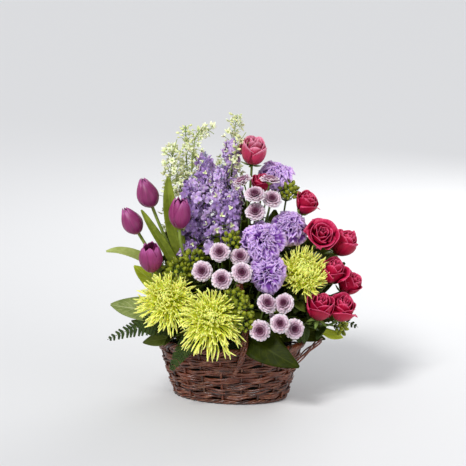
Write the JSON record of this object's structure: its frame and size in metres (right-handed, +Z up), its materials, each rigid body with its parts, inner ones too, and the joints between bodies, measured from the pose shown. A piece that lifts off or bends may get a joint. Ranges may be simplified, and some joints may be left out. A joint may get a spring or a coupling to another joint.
{
  "type": "flower basket arrangement",
  "caption": "Fan-shaped arrangement of mixed cut flowers, leaves and ferns in a wet foam block, standing in an oval dark willow basket with a wrapped hoop handle.",
  "frame": {"origin": "middle of the basket's flat base, on the surface it stands on", "axes": "+Z up; -Y to the front, where the blooms face; +X to the right, the side of the roses"},
  "size_m": [0.4214, 0.2781, 0.4605],
  "materials": {
    "willow": "satin",
    "liner_plastic": "matte",
    "foam": "matte",
    "tulip_petal": "satin",
    "rose_petal": "matte",
    "carnation_petal": "matte",
    "spider_mum_petal": "matte",
    "button_mum_petal": "matte",
    "larkspur_petal": "matte",
    "pale_bud": "matte",
    "berry": "satin",
    "leaf": "satin",
    "fern": "matte"
  },
  "bodies": {
    "root": {"basket_wall": "willow", "basket_base": "willow", "basket_rim": "willow", "basket_foot": "willow", "basket_handle": "willow", "basket_side_loop": "willow", "liner": "liner_plastic", "floral_foam": "foam", "tulip_1": "tulip_petal", "tulip_2": "tulip_petal", "tulip_3": "tulip_petal", "tulip_4": "tulip_petal", "rose_1": "rose_petal", "rose_2": "rose_petal", "rose_3": "rose_petal", "rose_4": "rose_petal", "rose_5": "rose_petal", "rose_6": "rose_petal", "rose_7": "rose_petal", "rose_8": "rose_petal", "rose_9": "rose_petal", "carnation_1": "carnation_petal", "carnation_2": "carnation_petal", "carnation_3": "carnation_petal", "carnation_4": "carnation_petal", "spider_mum_1": "spider_mum_petal", "spider_mum_2": "spider_mum_petal", "spider_mum_3": "spider_mum_petal", "button_spray_top": "button_mum_petal", "button_spray_middle": "button_mum_petal", "button_spray_low": "button_mum_petal", "larkspur_1": "larkspur_petal", "larkspur_2": "larkspur_petal", "larkspur_3": "larkspur_petal", "larkspur_4": "larkspur_petal", "larkspur_5": "larkspur_petal", "pale_spike_1": "pale_bud", "pale_spike_2": "pale_bud", "pale_spike_3": "pale_bud", "hypericum_1": "berry", "hypericum_2": "berry", "hypericum_3": "berry", "hypericum_4": "berry", "hypericum_5": "berry", "hypericum_6": "berry", "tulip_leaf_1": "leaf", "tulip_leaf_2": "leaf", "tulip_leaf_3": "leaf", "salal_leaf_1": "leaf", "salal_leaf_2": "leaf", "salal_leaf_3": "leaf", "salal_leaf_4": "leaf", "salal_leaf_5": "leaf", "salal_leaf_6": "leaf", "fern_1": "fern", "fern_2": "fern", "fern_3": "fern", "fern_4": "fern", "fern_5": "fern", "fern_6": "fern"}
  },
  "joints": []
}
